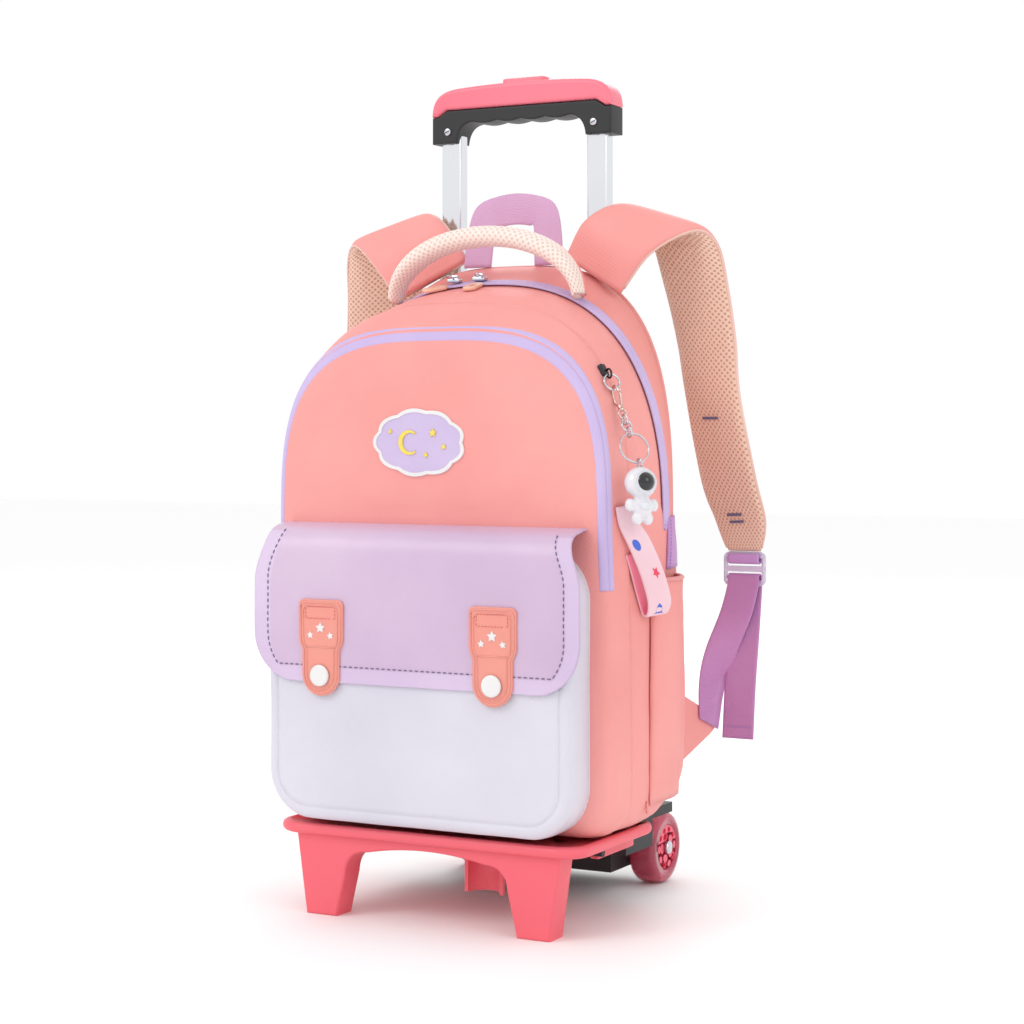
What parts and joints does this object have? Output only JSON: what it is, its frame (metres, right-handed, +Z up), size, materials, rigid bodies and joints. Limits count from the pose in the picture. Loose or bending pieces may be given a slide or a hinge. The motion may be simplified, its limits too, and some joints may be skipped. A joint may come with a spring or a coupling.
{
  "type": "wheeled backpack",
  "caption": "Child's padded backpack with a flap pocket and shoulder straps, held on a two-wheeled trolley frame with a telescopic handle.",
  "frame": {"origin": "On the floor under the middle of the whole object's box, where the two front feet and the wheels stand.", "axes": "+X is the wearer's left as seen from the front, to the right in the picture; +Y is the back, with the straps and trolley tubes; +Z is up."},
  "size_m": [0.386, 0.2766, 0.6316],
  "materials": {
    "coral_cloth": "satin nylon, padded",
    "lilac_cloth": "smooth coated cloth",
    "lilac_webbing": "ribbed woven webbing",
    "white_cloth": "satin nylon",
    "peach_cloth": "coated cloth",
    "cream_mesh": "spacer mesh",
    "white_plastic": "smooth",
    "patch_rubber": "soft moulded",
    "clear_plastic": "milky, half clear",
    "black_plastic": "moulded",
    "bright_steel": "plated",
    "silver_tube": "polished anodised",
    "printed_band": "soft printed artificial leather",
    "pink_plastic": "satin moulded",
    "red_tyre": "half clear, ribbed"
  },
  "bodies": {
    "bag": {"main_shell": "coral_cloth", "back_panel": "coral_cloth", "front_compartment": "coral_cloth", "side_pocket_left": "coral_cloth", "side_pocket_right": "coral_cloth", "shoulder_strap_left": "coral_cloth", "shoulder_strap_right": "coral_cloth", "corner_tab_left": "coral_cloth", "corner_tab_right": "coral_cloth", "trolley_sleeve": "coral_cloth", "flap": "lilac_cloth", "zip_front": "lilac_cloth", "zip_main": "lilac_cloth", "side_tab_left": "lilac_webbing", "side_tab_right": "lilac_webbing", "hang_loop": "lilac_webbing", "strap_loop_left": "lilac_webbing", "strap_loop_right": "lilac_webbing", "webbing_left": "lilac_webbing", "webbing_right": "lilac_webbing", "front_pocket": "white_cloth", "tab_left": "peach_cloth", "tab_right": "peach_cloth", "grab_handle": "cream_mesh", "snap_left": "white_plastic", "snap_right": "white_plastic", "spaceman": "white_plastic", "badge": "patch_rubber", "pull_left": "patch_rubber", "pull_right": "patch_rubber", "adjuster_left": "clear_plastic", "adjuster_right": "clear_plastic", "rear_housing": "black_plastic", "side_slider": "black_plastic", "spaceman_visor": "black_plastic", "slider_left": "bright_steel", "slider_right": "bright_steel", "side_pull_ring": "bright_steel", "lobster_clasp": "bright_steel", "chain_link_1": "bright_steel", "chain_link_2": "bright_steel", "chain_link_3": "bright_steel", "split_ring": "bright_steel", "axle": "bright_steel", "outer_tube_left": "silver_tube", "outer_tube_right": "silver_tube", "charm_band": "printed_band", "base_plate": "pink_plastic"},
    "handle": {"inner_tube_left": "silver_tube", "inner_tube_right": "silver_tube", "handle_grip": "black_plastic", "handle_cover": "pink_plastic", "screw_left": "bright_steel", "screw_right": "bright_steel"},
    "button": {"release_button": "pink_plastic"},
    "wheel_left": {"tyre_left": "red_tyre", "hub_left": "pink_plastic"},
    "wheel_right": {"tyre_right": "red_tyre", "hub_right": "pink_plastic"}
  },
  "joints": [
    {"name": "handle_slide", "type": "slide", "parent": "bag", "child": "handle", "axis": [0, 0, 1], "range_m": [0, 0.3]},
    {"name": "button_press", "type": "slide", "parent": "handle", "child": "button", "axis": [0, 0, -1], "range_m": [0, 0.003], "stiffness_N_per_m": 400, "springref_m": -0.002},
    {"name": "wheel_left_spin", "type": "hinge", "parent": "bag", "child": "wheel_left", "pos_m": [-0.079, 0.1103, 0.028], "axis": [1, 0, 0], "continuous": true},
    {"name": "wheel_right_spin", "type": "hinge", "parent": "bag", "child": "wheel_right", "pos_m": [0.079, 0.1103, 0.028], "axis": [1, 0, 0], "continuous": true}
  ]
}
